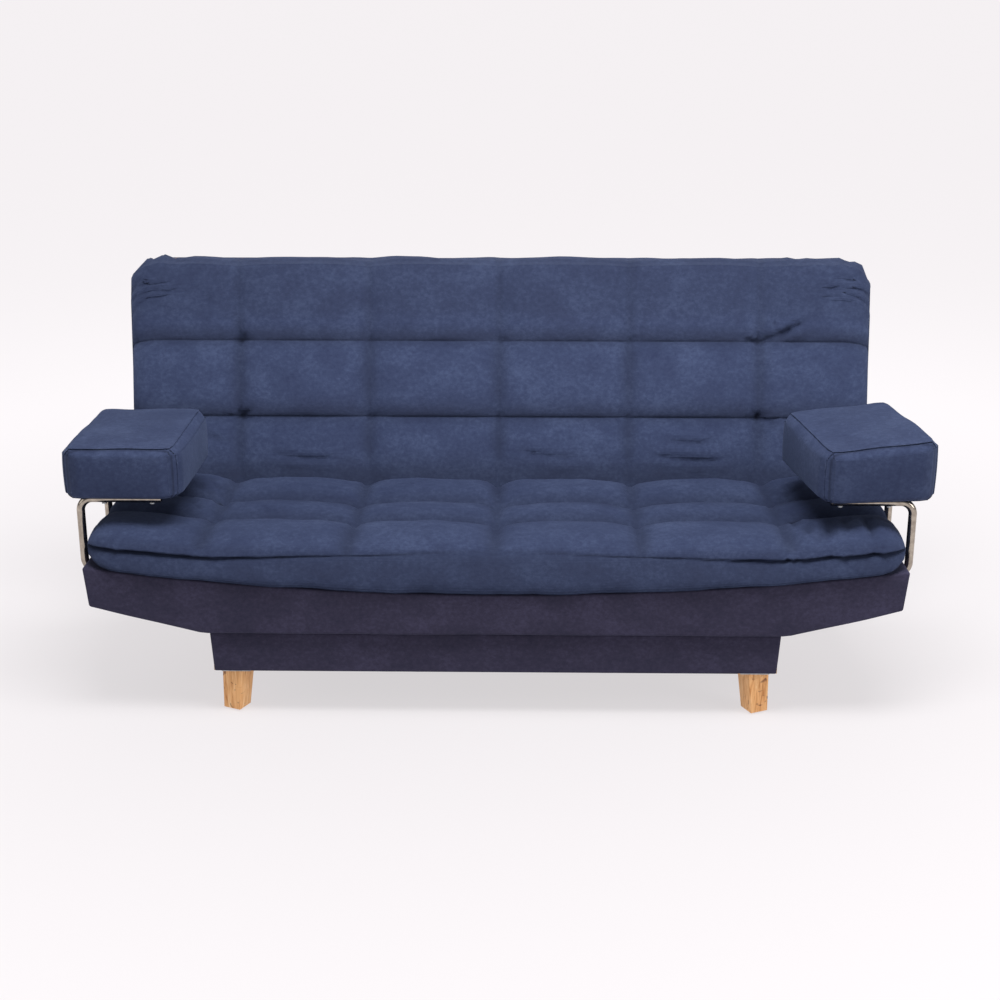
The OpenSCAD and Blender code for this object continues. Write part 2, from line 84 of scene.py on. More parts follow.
world = bpy.data.worlds.new("studio_air")
bpy.context.scene.world = world
world.use_nodes = True
world.node_tree.nodes["Background"].inputs["Color"].default_value = linear("#f4f1f3")
world.node_tree.nodes["Background"].inputs["Strength"].default_value = 0.30


def new_material(name, rough, metal=0.0, sheen=0.0):
    """A material with a Principled shader; returns its tree and the shader."""
    material = bpy.data.materials.new(name)
    material.use_nodes = True
    shader = material.node_tree.nodes["Principled BSDF"]
    shader.inputs["Roughness"].default_value = rough
    shader.inputs["Metallic"].default_value = metal
    shader.inputs["Sheen Weight"].default_value = sheen
    return material, material.node_tree, shader


def add_node(tree, kind, settings=None, **links):
    """Adds a node, sets its inputs and properties, and links sockets given by name."""
    made = tree.nodes.new(kind)
    for key, value in (settings or {}).items():
        if key in made.inputs:
            made.inputs[key].default_value = value
        else:
            setattr(made, key, value)
    for key, source in links.items():
        tree.links.new(source, made.inputs[key.replace("_", " ")])
    return made


def ramp(tree, source, stops):
    """A colour ramp through (place, hex colour) stops."""
    made = add_node(tree, "ShaderNodeValToRGB", None, Fac=source)
    for element, (place, colour) in zip(made.color_ramp.elements, (stops[0], stops[-1])):
        element.position = place
        element.color = linear(colour)
    for place, colour in stops[1:-1]:
        made.color_ramp.elements.new(place).color = linear(colour)
    return made.outputs["Color"]


def stretch(tree, source, low, high, to_low=0.0, to_high=1.0, **settings):
    """Stretches a value from low..high to to_low..to_high."""
    ends = {"From Min": low, "From Max": high, "To Min": to_low, "To Max": to_high}
    return add_node(tree, "ShaderNodeMapRange", {**ends, **settings}, Value=source).outputs["Result"]


# The floor is matt white paper, broad enough to fill the view. It glows a little by itself,
# more with distance, so that it stays one even tone and takes only a soft contact shadow.
bpy.ops.mesh.primitive_plane_add(size=300, location=(0, 60, 0))
floor = bpy.context.object
floor.name = "studio_floor"
paper, tree, shader = new_material("paper_white_matt", 0.95)
grain = add_node(tree, "ShaderNodeTexNoise", {"Scale": 3.0, "Detail": 2.0})
shade = ramp(tree, grain.outputs["Fac"], [(0.3, "#777576"), (0.7, "#7a7879")])
tree.links.new(shade, shader.inputs["Base Color"])
shader.inputs["Specular IOR Level"].default_value = 0
shader.inputs["Emission Color"].default_value = linear("#fffbfd")
spot = add_node(tree, "ShaderNodeNewGeometry").outputs["Position"]
away = add_node(tree, "ShaderNodeVectorMath", {"operation": "LENGTH"}, Vector=spot).outputs["Value"]
glow = stretch(tree, away, 0.3, 3.0, 0.645, 0.86, interpolation_type="SMOOTHSTEP")
tree.links.new(glow, shader.inputs["Emission Strength"])
floor.data.materials.append(paper)


def darken(tree, amount, colour, hex_colour):
    """Mixes a colour towards a fixed one by amount, from 0 to 1."""
    made = add_node(tree, "ShaderNodeMix", {"data_type": "RGBA"})
    tree.links.new(amount, made.inputs["Factor"])
    tree.links.new(colour, made.inputs[6])
    made.inputs[7].default_value = linear(hex_colour)
    return made.outputs[2]


def suede_material(name, dark, middle, pale):
    """Microfibre suede, knitted and brushed: matt, with a short nap that lies in soft patches
    and a faint bloom at grazing angles. The three hex colours are its shades."""
    suede, tree, shader = new_material(name, 0.88, sheen=0.20)
    shader.inputs["Sheen Roughness"].default_value = 0.45
    shader.inputs["Sheen Tint"].default_value = linear("#8fa0c8")
    shader.inputs["Specular IOR Level"].default_value = 0.18
    place = add_node(tree, "ShaderNodeTexCoord").outputs["Object"]
    # Nap patches are 60 to 120 mm across, brushed lengthwise; the fine mottling is about 8 mm.
    brushed = add_node(tree, "ShaderNodeMapping", {"Scale": (1.0, 1.0, 1.3)}, Vector=place).outputs["Vector"]
    patches = add_node(tree, "ShaderNodeTexNoise", {"Scale": 10.0, "Detail": 5.0, "Roughness": 0.6,
        "Distortion": 0.4}, Vector=brushed).outputs["Fac"]
    mottle = add_node(tree, "ShaderNodeTexNoise", {"Scale": 95.0, "Detail": 5.0, "Roughness": 0.7,
        "Distortion": 0.2}, Vector=brushed).outputs["Fac"]
    nap = add_node(tree, "ShaderNodeTexNoise", {"Scale": 700.0, "Detail": 2.0}, Vector=place).outputs["Fac"]
    both = add_node(tree, "ShaderNodeMix", {"Factor": 0.5}, A=patches, B=mottle).outputs["Result"]
    cloth_colour = ramp(tree, both, [(0.32, dark), (0.5, middle), (0.68, pale)])
    # Painted shade: the colour is darkened towards near black by each point's stored shade amount, in seams,
    # valleys and creases and on the band that faces forward.
    fold = add_node(tree, "ShaderNodeAttribute", {"attribute_name": "fold"}).outputs["Fac"]
    tree.links.new(darken(tree, fold, cloth_colour, "#0b0e1a"), shader.inputs["Base Color"])
    hairs = add_node(tree, "ShaderNodeMix", {"Factor": 0.45}, A=mottle, B=nap).outputs["Result"]
    pile = add_node(tree, "ShaderNodeBump", {"Strength": 0.4, "Distance": 0.0012}, Height=hairs)
    tree.links.new(pile.outputs["Normal"], shader.inputs["Normal"])
    tree.links.new(stretch(tree, patches, 0.3, 0.7, 0.82, 0.95), shader.inputs["Roughness"])
    return suede


# The cushions are navy suede; the frame and plinth use a darker, warmer copy of the same suede, painted shade for
# low parts that get less light.
cushion_suede = suede_material("microfibre_suede_navy", "#222a45", "#2d3651", "#3c4662")
frame_suede_painted_shade = suede_material("microfibre_suede_navy_painted_shade", "#252437", "#312e41", "#3e3b51")


def finish_cloth(obj, body, *stands_for, fill=None, cloth=cushion_suede):
    obj.data.materials.clear()
    obj.data.materials.append(cloth)
    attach(obj, body)
    if stands_for:
        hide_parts(*stands_for)


def read_points(obj):
    """The mesh's points as rows of x, y, z."""
    flat = np.zeros(len(obj.data.vertices) * 3)
    obj.data.vertices.foreach_get("co", flat)
    return flat.reshape(-1, 3)


def write_points(obj, points):
    """Moves the mesh's points to the rows given."""
    obj.data.vertices.foreach_set("co", np.ascontiguousarray(points).ravel())
    obj.data.update()


# The range of every random phase, in radians.
FULL_TURN = 6.28


def smooth_noise(points, size, seed):
    """Smooth noise from -1 to 1 with waves about size metres long, the same each run."""
    rng = np.random.RandomState(seed)
    total = np.zeros(len(points))
    for _ in range(9):
        way = rng.normal(size=3)
        way *= 2 * math.pi / (size * rng.uniform(0.7, 1.5) * np.linalg.norm(way))
        total += np.sin(points @ way + rng.uniform(0, FULL_TURN))
    return total / 3.6


def crowd(edges, spacing, tight=0.55):
    """Places from the first edge to the last, about spacing apart and closer beside each edge."""
    places = []
    for a, b in zip(edges[:-1], edges[1:]):
        share = np.linspace(0, 1, max(4, round((b - a) / spacing)) + 1)[:-1]
        eased = 0.5 - 0.5 * np.cos(math.pi * share)
        places += list(a + (b - a) * ((1 - tight) * share + tight * eased))
    return np.array(places + [edges[-1]])


def sleeve(name, arcs, rings):
    """A closed tube along X, made from a cylinder that is divided lengthwise.

    arcs are the places round it and rings the places along X. Returns the object, each
    point's place round it and along X, and whether it is on the skin or is a cap's middle."""
    around = len(arcs)
    bpy.ops.object.select_all(action="DESELECT")
    bpy.ops.mesh.primitive_cylinder_add(vertices=around, radius=1, depth=2, end_fill_type="TRIFAN")
    obj = bpy.context.object
    obj.name = name
    bpy.ops.object.mode_set(mode="EDIT")
    bpy.ops.mesh.select_all(action="DESELECT")
    bpy.ops.object.mode_set(mode="OBJECT")
    for edge in obj.data.edges:
        a, b = (obj.data.vertices[i].co for i in edge.vertices)
        edge.select = abs(a.z - b.z) > 1
    bpy.ops.object.mode_set(mode="EDIT")
    # Known fault: the operator stops at 100 cuts, and in vertex mode the choice takes in the
    # ring edges too, so the mesh is far denser round than arcs and coarser along X than rings.
    bpy.ops.mesh.subdivide(number_cuts=len(rings) - 2)
    bpy.ops.object.mode_set(mode="OBJECT")
    points = read_points(obj)
    turn = (np.arctan2(points[:, 1], points[:, 0]) / (2 * math.pi)) % 1.0
    skin = np.hypot(points[:, 0], points[:, 1]) > 0.5
    ring = np.rint((points[:, 2] + 1) / 2 * (len(rings) - 1)).astype(int)
    arc = np.rint(turn * around).astype(int) % around
    return obj, np.asarray(arcs)[arc], np.asarray(rings)[ring], skin


def mark_folds(obj, amount):
    """Stores each point's painted shade, from 0 to 1, which darkens the cloth's colour."""
    fold = obj.data.attributes.new("fold", "FLOAT", "POINT")
    fold.data.foreach_set("value", np.clip(amount, 0, 1).astype(np.float32))


def seam_lines(value, edges, width):
    """1 on every edge, falling to 0 within about width either side."""
    gap = np.min([np.abs(value - e) for e in edges], axis=0)
    return np.exp(-(gap / width) ** 2)


def pulled_line(across, up, start, end, width, bow=0.0):
    """A pulled crease between two points: 1 in its groove, with a low lip on either side."""
    a, b = np.array(start), np.array(end)
    run = b - a
    length = np.hypot(*run)
    t = ((across - a[0]) * run[0] + (up - a[1]) * run[1]) / length ** 2
    off = ((across - a[0]) * run[1] - (up - a[1]) * run[0]) / length - bow * 4 * t * (1 - t)
    inside = np.clip(t, 0, 1)
    fade = np.clip(4 * inside, 0, 1) * np.clip(4 * (1 - inside), 0, 1)
    fade = fade * (np.abs(t - 0.5) < 0.5)
    groove = np.exp(-(off / width) ** 2)
    lips = np.exp(-((np.abs(off) - 2.1 * width) / (1.1 * width)) ** 2)
    return fade * (groove - 0.45 * lips)


def crossing(across, up, at_across, at_up, lobes, rng):
    """Round a crossing of seams: each point's distance from it, and the fan of pleats there."""
    run, rise = across - at_across, up - at_up
    spin = np.arctan2(rise, run)
    fan = np.sin(5 * spin + rng.uniform(0, FULL_TURN))
    fan = fan + 0.6 * np.sin(lobes * spin + rng.uniform(0, FULL_TURN))
    return np.hypot(run, rise), fan


def outline_points(corners, radii, steps=14, samples=1400, blur=31):
    """A closed outline with rounded corners, evenly spaced: y, z, normal y, normal z, length.

    steps divide each corner, and the normals are averaged over blur of the samples."""
    path = []
    count = len(corners)
    for i, corner in enumerate(corners):
        before, after = Vector(corners[i - 1]), Vector(corners[(i + 1) % count])
        corner = Vector(corner)
        a, b = (before - corner).normalized(), (after - corner).normalized()
        half_angle = a.angle(b) / 2
        reach = radii[i] / math.tan(half_angle)
        middle = corner + (a + b).normalized() * radii[i] / math.sin(half_angle)
        start, end = corner + a * reach - middle, corner + b * reach - middle
        sweep = start.angle_signed(end)
        for k in range(steps + 1):
            spin = -sweep * k / steps
            path.append((middle.x + start.x * math.cos(spin) - start.y * math.sin(spin),
                middle.y + start.x * math.sin(spin) + start.y * math.cos(spin)))
    path = np.array(path + path[:1])
    if np.sum(path[:-1, 0] * path[1:, 1] - path[1:, 0] * path[:-1, 1]) < 0:
        path = path[::-1]
    run = np.concatenate([[0], np.cumsum(np.hypot(*np.diff(path, axis=0).T))])
    even = np.linspace(0, run[-1], samples)
    y, z = np.interp(even, run, path[:, 0]), np.interp(even, run, path[:, 1])
    ty, tz = np.gradient(y), np.gradient(z)
    norm = np.hypot(ty, tz)
    ny, nz = -tz / norm, ty / norm
    if np.sum(ny * (y - y.mean()) + nz * (z - z.mean())) < 0:
        ny, nz = -ny, -nz
    soft, wrap = np.ones(blur) / blur, (blur + 1) // 2
    ny, nz = (np.convolve(np.concatenate([n[-wrap:-1], n, n[1:wrap]]), soft, "valid")[:samples]
        for n in (ny, nz))
    return y, z, ny, nz, even


def walk_outline(at, outline, rim, hub):
    """Points and normals at lengths round an outline; a cap's middle goes to hub, unlifted."""
    y, z, ny, nz, run = outline
    return (np.where(rim, np.interp(at, run, y), hub[0]), np.where(rim, np.interp(at, run, z), hub[1]),
        np.where(rim, np.interp(at, run, ny), 0), np.where(rim, np.interp(at, run, nz), 0))


def puff(value, edges, sharp):
    """A row of domes between edges: 0 on every edge and 1 in the middle of each span."""
    edges = np.array(edges)
    i = np.clip(np.searchsorted(edges, value) - 1, 0, len(edges) - 2)
    share = (value - edges[i]) / (edges[i + 1] - edges[i])
    inside = (value >= edges[0]) & (value <= edges[-1])
    dome = 1 - np.abs(2 * np.clip(share, 0, 1) - 1) ** sharp
    return np.where(inside, np.clip(dome, 0, 1), 0)


# The seat cushion is foam and batting under a suede cover, sewn through in six columns and
# three rows. It bends like a boat with the frame under it, and ends in thick round rolls.
column = 0.3156
columns = [k * column for k in range(-3, 4)]
inner_columns = columns[1:-1]
seat_low, seat_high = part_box("seat_cushion")
cover_low, cover_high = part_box("seat_frame_cover")
frame_half = cover_high.x
frame_mid_top = 0.292
frame_rise = cover_high.z - frame_mid_top
seat_front, seat_rear = seat_low.y, seat_high.y
seat_half = seat_high.x
seat_base = frame_mid_top + 0.0012


def frame_top(x):
    return frame_mid_top + frame_rise * (x / frame_half) ** 2


# The cushion's top stays level while the frame rises under it, so it thins towards its ends.
seat_full = 0.1330


def seat_squash(x):
    end = np.clip((np.abs(x) - 0.55) / 0.3, 0, 1)
    level = seat_full + 0.014 * end * end * (3 - 2 * end)
    return (level - frame_rise * (x / frame_half) ** 2) / seat_full


seat_flat = seat_base + 0.090
outline = [(seat_front + 0.012, seat_base), (seat_front + 0.001, seat_base + 0.100),
    (seat_front + 0.100, seat_flat + 0.004), (seat_rear - 0.012, seat_flat), (seat_rear - 0.016, seat_base)]
seat_outline = outline_points(outline, [0.012, 0.018, 0.05, 0.018, 0.012])
sy, sz, srun = seat_outline[0], seat_outline[1], seat_outline[-1]
seat_rows = [0.004, 0.196, 0.333, 0.507]
front_row, rear_row = seat_rows[1:3]
top_places = [np.argmin(np.hypot(sy - y, sz - z)) for y, z in
    ((seat_front + rear_row, seat_flat), (seat_front + front_row, seat_flat),
        (seat_front, seat_base + 0.094))]
seat_edges = sorted([0.0, srun[-1]] + [srun[i] for i in top_places])
seat_columns = [-seat_half] + inner_columns + [seat_half]
seat, at, sx, rim = sleeve("seat_cushion_cover", crowd(seat_edges, 0.0055)[:-1],
    crowd(seat_columns, 0.0052))
seat_hub = ((seat_front + seat_rear) / 2, seat_base + 0.045)
py, pz, ny, nz = walk_outline(at, seat_outline, rim, seat_hub)
climb = pz - seat_base
depth = py - seat_front
front_side = np.clip((-ny - 0.2) / 0.6, 0, 1)
top_side = np.clip((nz - 0.1) / 0.5, 0, 1)
# The sewn edge between the top and the front band dips towards both ends.
seam_dip = 0.027 * np.clip(np.abs(sx) / 0.62, 0, 1) ** 1.6
seam_climb = 0.097 - seam_dip
row_dome = puff(np.where(climb > 0.06, depth, -1), seat_rows, 2.6)
column_dome = puff(sx, columns, 2.8)
# The rows puff up by these heights, front to rear, and the seams sink a little below the foam.
height = np.where(depth < front_row, 0.040, np.where(depth < rear_row, 0.035, 0.044))
seam_sink = 0.006
lift = height * row_dome ** 0.75 * (0.30 + 0.70 * column_dome ** 0.62) * top_side
lift = lift - seam_sink * top_side
lift -= 0.0035 * seam_lines(sx, inner_columns, 0.0055) * top_side * row_dome
# The band under the seam bellies out, and the top rolls over in front of it.
belly = np.clip(1 - ((climb - 0.45 * seam_climb) / (0.52 * seam_climb)) ** 2, 0, 1) * front_side
lift += 0.016 * belly ** 0.8
roll = np.clip((climb - seam_climb) / 0.02, 0, 1) * front_side
lift += 0.013 * roll * (0.55 + 0.45 * column_dome ** 0.6)
# Short gathers where the cover is eased into the seam, deepest at the right end.
from_seam = np.where(front_side > 0.3, np.abs(climb - seam_climb), depth + 0.012)
right_end = np.clip((sx - 0.58) / 0.14, 0, 1)
gather_pitch, second_pitch = 0.0265, 0.043
gather = np.sin(sx * 2 * math.pi / gather_pitch + 2.4 * np.sin(sx * 11.0) + 9 * from_seam)
gather += 0.6 * np.sin(sx * 2 * math.pi / second_pitch + 1.3 - 12 * from_seam)
amount = 0.0009 + 0.0011 * np.clip((sx - 0.25) / 0.3, 0, 1) + 0.0042 * right_end
amount = amount + 0.0012 * np.clip((-sx - 0.62) / 0.2, 0, 1)
above = np.where(front_side > 0.3, climb > seam_climb - 0.004, depth < 0.2)
lift += amount * gather * np.exp(-from_seam / (0.024 + 0.03 * right_end)) * above
lift -= 0.0045 * np.exp(-((climb - seam_climb) / 0.0050) ** 2) * front_side
over_seam = np.clip(top_side + front_side * (climb > seam_climb), 0, 1)
# Painted shade in the seam grooves: thin dark lines along the seams and the band's top seam.
seat_fold = seam_lines(sx, inner_columns, 0.0024) * over_seam
seat_fold = np.maximum(seat_fold, seam_lines(depth, seat_rows[1:3], 0.0040) * top_side)
seat_fold = np.maximum(seat_fold, 0.75 * np.exp(-((climb - seam_climb) / 0.0020) ** 2) * front_side)
# Painted shade beside the seams, down in the valleys and on the band, which faces forward.
seat_fold = np.maximum(seat_fold, 0.42 * seam_lines(sx, inner_columns, 0.020) * top_side)
for row in seat_rows[1:3]:
    behind = depth - row
    shade = np.where(behind > 0, 0.40 * np.exp(-(behind / 0.030) ** 2),
        0.50 * np.exp(-(behind / 0.045) ** 2))
    seat_fold = np.maximum(seat_fold, shade * top_side)
seat_fold = np.maximum(seat_fold, front_side * np.where(climb < seam_climb, 0.40, 0.22))
# Pulled-in creases fan out from every crossing of the seams.
rng = np.random.RandomState(4)
row_places = [seat_front + r for r in seat_rows[1:]]
for cx in inner_columns:
    for cy in row_places:
        away, fan = crossing(sx, py, cx, cy, 9, rng)
        lift += top_side * 0.0028 * fan * np.exp(-away / 0.045) * np.clip(away / 0.02, 0, 1)
        lift -= top_side * 0.010 * np.exp(-(away / 0.030) ** 2)
# Long folds cross the outer sections, and a short crescent lies on each middle section.
# Each is its two ends as places across and behind the front, its width and its bow.
seat_creases = (
    ((-0.750, 0.43), (-0.610, 0.230), 0.0100, -0.016), ((-0.700, 0.46), (-0.622, 0.29), 0.0085, -0.010),
    ((-0.785, 0.35), (-0.655, 0.205), 0.0085, -0.010), ((0.650, 0.19), (0.705, 0.012), 0.0090, 0.006),
    ((0.712, 0.14), (0.738, 0.008), 0.0085, 0.004), ((0.762, 0.14), (0.778, 0.006), 0.0085, 0.0),
    ((0.812, 0.13), (0.815, 0.006), 0.0080, 0.0), ((0.62, 0.33), (0.73, 0.41), 0.0090, 0.008))
for start, end, wide, bow in seat_creases:
    fold_line = pulled_line(sx, depth, start, end, wide, bow) * top_side
    lift -= 0.0100 * fold_line
    # Painted shade down in each crease.
    seat_fold = np.maximum(seat_fold, 0.35 * np.clip(fold_line, 0, 1))
rest_points = np.stack([sx, py, pz], 1)
lift += 0.0020 * smooth_noise(rest_points, 0.16, 3) + 0.0010 * smooth_noise(rest_points, 0.06, 5)
py, pz = py + ny * lift, pz + nz * lift
# The ends close in a round roll, and the corners are rounded seen from above.
end_r = 0.062
over = np.clip((np.abs(sx) - (seat_half - end_r)) / end_r, 0, 1)
close_in = np.sqrt(np.clip(1 - over ** 2.3, 0, 1))
middle_z = seat_base + 0.058
pz = middle_z + (pz - middle_z) * (0.02 + 0.98 * close_in)
plan_r = 0.085
plan = np.clip((np.abs(sx) - (seat_half - plan_r)) / plan_r, 0, 1)
pull = 0.060 * (1 - np.sqrt(np.clip(1 - plan ** 2, 0, 1)))
middle_y = (seat_front + seat_rear) / 2
py = middle_y + (py - middle_y) * (1 - pull / 0.25)
pz = seat_base + (pz - seat_base) * seat_squash(sx) + frame_rise * (sx / frame_half) ** 2
write_points(seat, np.stack([sx, py, pz], 1))
# The seat's painted shade is stored on its cover.
mark_folds(seat, 0.85 * seat_fold)
bpy.ops.object.shade_smooth()
finish_cloth(seat, "seat", "seat_cushion", fill=0.8)

# The back cushion is made like the seat, with three rows in front, and its cover runs over
# the top. It leans back, and the cover is gathered round its top corners.
joints = {joint["name"]: joint for joint in frame["joints"]}
lean = math.radians(13)
pivot = Vector(joints["back_recline"]["pos_m"])
# The foot of the back's face lies this far in front of its pivot, and above it.
foot_ahead, foot_above = 0.02784, 0.035
crease = Vector((0, pivot.y - foot_ahead, pivot.z + foot_above))
back_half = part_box("back_cushion")[1].x
back_top = 0.545
back_low = -0.0507
foam = 0.105
outline = [(0.026, back_low), (0.026, back_top - 0.008), (foam, back_top - 0.012), (foam, back_low)]
back_outline = outline_points(outline, [0.022, 0.034, 0.03, 0.012])
by, bz, brun = back_outline[0], back_outline[1], back_outline[-1]
back_rows = [-0.030, 0.150, 0.3346, 0.572]
face_places = [np.argmin(np.hypot(by - 0.026, bz - u)) for u in back_rows[1:3]]
back_edges = sorted([0.0, brun[-1]] + [brun[i] for i in face_places])
back_columns = [-back_half] + inner_columns + [back_half]
back, at, bx, rim = sleeve("back_cushion_cover", crowd(back_edges, 0.0055)[:-1],
    crowd(back_columns, 0.0062))
middle_u = 0.25
pw, pu, nw, nu = walk_outline(at, back_outline, rim, (foam / 2 + 0.01, middle_u))
facing = np.clip((-nw - 0.1) / 0.5, 0, 1)
upward = np.clip((nu - 0.1) / 0.5, 0, 1)
flush = np.clip((-nw - 0.45) / 0.5, 0, 1)
height = np.where(nu > 0.35, back_top + (pw - 0.04) * 0.6, pu)
row_dome = puff(height, back_rows, 2.6)
column_dome = puff(bx, columns, 2.6)
lift = 0.036 * (0.10 + 0.90 * row_dome ** 0.7) * (0.36 + 0.64 * column_dome ** 0.66)
lift *= flush
lift -= 0.0030 * seam_lines(bx, inner_columns, 0.0055) * facing
lift += 0.002 * upward * column_dome
# Painted shade in the seam grooves: thin dark lines along the seams.
back_fold = 0.75 * seam_lines(bx, inner_columns, 0.0020) * np.clip(facing + upward, 0, 1)
back_fold = np.maximum(back_fold, 0.6 * seam_lines(pu, back_rows[1:3], 0.0022) * facing)
# Painted shade above each level seam, beside the upright ones and by the seat.
for row in back_rows[1:3]:
    above = pu - row
    shade = np.where(above > 0, 0.50 * np.exp(-(above / 0.034) ** 2),
        0.22 * np.exp(-(above / 0.016) ** 2))
    back_fold = np.maximum(back_fold, shade * facing)
back_fold = np.maximum(back_fold, 0.38 * seam_lines(bx, inner_columns, 0.019) * facing)
back_fold = np.maximum(back_fold, 0.50 * np.exp(-((pu - 0.005) / 0.045) ** 2) * facing)
# Painted shade darkens the whole top row.
top_row = np.clip((pu - 0.36) / 0.05, 0, 1)
back_fold = np.maximum(back_fold, 0.26 * top_row * np.clip(facing + upward, 0, 1))
rng = np.random.RandomState(11)
for cx in inner_columns:
    # The outer crossings are pulled in harder: pleat height and reach, dimple depth, and the darkness of the
    # painted shade in the dimple.
    pleat, reach, dimple, dark = (0.0030, 0.06, 0.018, 0.85) if abs(cx) > 0.6 else (0.0020, 0.035, 0.011, 0.6)
    for cu in back_rows[1:3]:
        away, fan = crossing(bx, pu, cx, cu, 8, rng)
        lift += facing * pleat * fan * np.exp(-away / reach) * np.clip(away / 0.02, 0, 1)
        lift -= facing * dimple * np.exp(-(away / 0.024) ** 2)
        back_fold = np.maximum(back_fold, facing * dark * np.exp(-(away / 0.011) ** 2))
# Soft level wrinkles where the bottom row is pushed up by the seat.
low_row = np.exp(-((pu - 0.045) / 0.03) ** 2) * facing
wrinkle = np.sin(pu * 2 * math.pi / 0.027 + 1.6 * np.sin(bx * 13))
lift += 0.0013 * low_row * wrinkle * np.sin(bx * 4.3 + 0.6) ** 2
# A few long creases are drawn into the outer crossings and up from the seat.
back_creases = (
    ((-0.765, 0.490), (-0.640, 0.345), 0.0085, -0.012), ((-0.705, 0.500), (-0.637, 0.352), 0.0085, -0.006),
    ((0.640, 0.347), (0.720, 0.455), 0.0085, 0.006), ((0.642, 0.338), (0.760, 0.400), 0.0085, 0.004),
    ((0.640, 0.155), (0.705, 0.080), 0.009, -0.006), ((-0.78, 0.140), (-0.655, 0.085), 0.009, 0.006),
    ((0.345, 0.066), (0.575, 0.050), 0.0090, 0.008), ((0.40, 0.100), (0.52, 0.090), 0.0080, 0.004),
    ((0.04, 0.072), (0.22, 0.055), 0.0090, 0.008), ((-0.57, 0.064), (-0.37, 0.052), 0.0085, 0.007))
for start, end, wide, bow in back_creases:
    fold_line = pulled_line(bx, pu, start, end, wide, bow) * facing
    lift -= 0.0080 * fold_line
    # Painted shade down in each crease.
    back_fold = np.maximum(back_fold, 0.25 * np.clip(fold_line, 0, 1))
from_corner = np.hypot(np.abs(bx) - back_half + 0.05, pu - back_top + 0.05)
corner_near = np.exp(-(from_corner / 0.075) ** 2)
around = np.arctan2(pu - back_top + 0.09, np.abs(bx) - back_half + 0.09)
lift += 0.0065 * corner_near * np.sin(around * 15 + np.sign(bx))
rest_points = np.stack([bx, pw, pu], 1)
lift += 0.0020 * smooth_noise(rest_points, 0.17, 8) + 0.0012 * smooth_noise(rest_points, 0.07, 9)
pw, pu = pw + nw * lift, pu + nu * lift
edge_r = 0.045
over = np.clip((np.abs(bx) - (back_half - edge_r)) / edge_r, 0, 1)
close_in = np.sqrt(np.clip(1 - over ** 2.4, 0, 1))
middle_w = 0.062
pw = middle_w + (pw - middle_w) * (0.02 + 0.98 * close_in)
corner_r = 0.075


def corner_drop(x, half):
    """How far a top edge that ends at half falls away at x, round a corner of corner_r."""
    over = np.clip((np.abs(x) - (half - corner_r)) / corner_r, 0, 1)
    return corner_r * (1 - np.sqrt(np.clip(1 - over ** 2, 0, 1)))


drop = corner_drop(bx, back_half)
share = np.clip((pu - middle_u) / (back_top - middle_u), 0, 1)
pu = pu - drop * share + 0.25 * drop * np.clip((0.1 - pu) / 0.15, 0, 1)
# The ends belly out a little, with gathered lumps round the top corners.
lumps = np.clip((pu - 0.34) / 0.1, 0, 1) * (0.6 * np.sin(pu * 95 + np.sign(bx)) + 0.4 * np.sin(pu * 163))
bx = bx + np.sign(bx) * np.clip((np.abs(bx) - 0.80) / 0.09, 0, 1) ** 1.5 * (0.009 + 0.0035 * lumps)
top_edge = np.clip((pu - 0.46) / 0.05, 0, 1) * np.clip((np.abs(bx) - 0.62) / 0.12, 0, 1)
ripple = 0.6 * np.sin(np.abs(bx) * 118) + 0.4 * np.sin(np.abs(bx) * 187 + np.sign(bx))
pu = pu + 0.0035 * top_edge * ripple


def lean_back(x, w, u):
    """Points given across, behind the back's face and up its slope, as places in the frame."""
    return np.stack([x, crease.y + w * math.cos(lean) + u * math.sin(lean),
        crease.z - w * math.sin(lean) + u * math.cos(lean)], 1)


write_points(back, lean_back(bx, pw, pu))
# The back's painted shade is stored on its cover.
mark_folds(back, 0.85 * back_fold)
bpy.ops.object.shade_smooth()
finish_cloth(back, "back", "back_cushion", fill=0.8)


def soft_block(name, low, high, cuts, edge, rounds=4):
    """A box divided into cells, with its twelve edges bevelled round."""
    bpy.ops.object.select_all(action="DESELECT")
    low, high = Vector(low), Vector(high)
    bpy.ops.mesh.primitive_cube_add(size=1, location=(low + high) / 2, scale=high - low)
    obj = bpy.context.object
    obj.name = name
    bpy.ops.object.transform_apply(location=True, rotation=True, scale=True)
    for axis, count in enumerate(cuts):
        if not count:
            continue
        bpy.ops.object.mode_set(mode="EDIT")
        bpy.ops.mesh.select_mode(type="EDGE")
        bpy.ops.mesh.select_all(action="DESELECT")
        bpy.ops.object.mode_set(mode="OBJECT")
        for line in obj.data.edges:
            a, b = (obj.data.vertices[i].co for i in line.vertices)
            line.select = abs(a[axis] - b[axis]) > 0.5 * (high[axis] - low[axis])
        bpy.ops.object.mode_set(mode="EDIT")
        bpy.ops.mesh.subdivide(number_cuts=count, quadcorner="STRAIGHT_CUT")
        bpy.ops.object.mode_set(mode="OBJECT")
    bpy.ops.object.mode_set(mode="EDIT")
    bpy.ops.mesh.select_all(action="DESELECT")
    bpy.ops.mesh.edges_select_sharp(sharpness=math.radians(60))
    bpy.ops.mesh.bevel(offset=edge, segments=rounds, profile=0.5, affect="EDGES")
    bpy.ops.object.mode_set(mode="OBJECT")
    return obj


# The seat frame's cover is the same suede, in its darker copy with painted shade, stapled over card and wadding.
# Its underside rises at both ends, and its top follows the cushion.
proud = 0.0022
frame_cover = soft_block("seat_frame_suede", (cover_low.x - proud, cover_low.y - proud, 0),
    (cover_high.x + proud, cover_high.y, 1), (140, 24, 6), 0.005)
points = read_points(frame_cover)
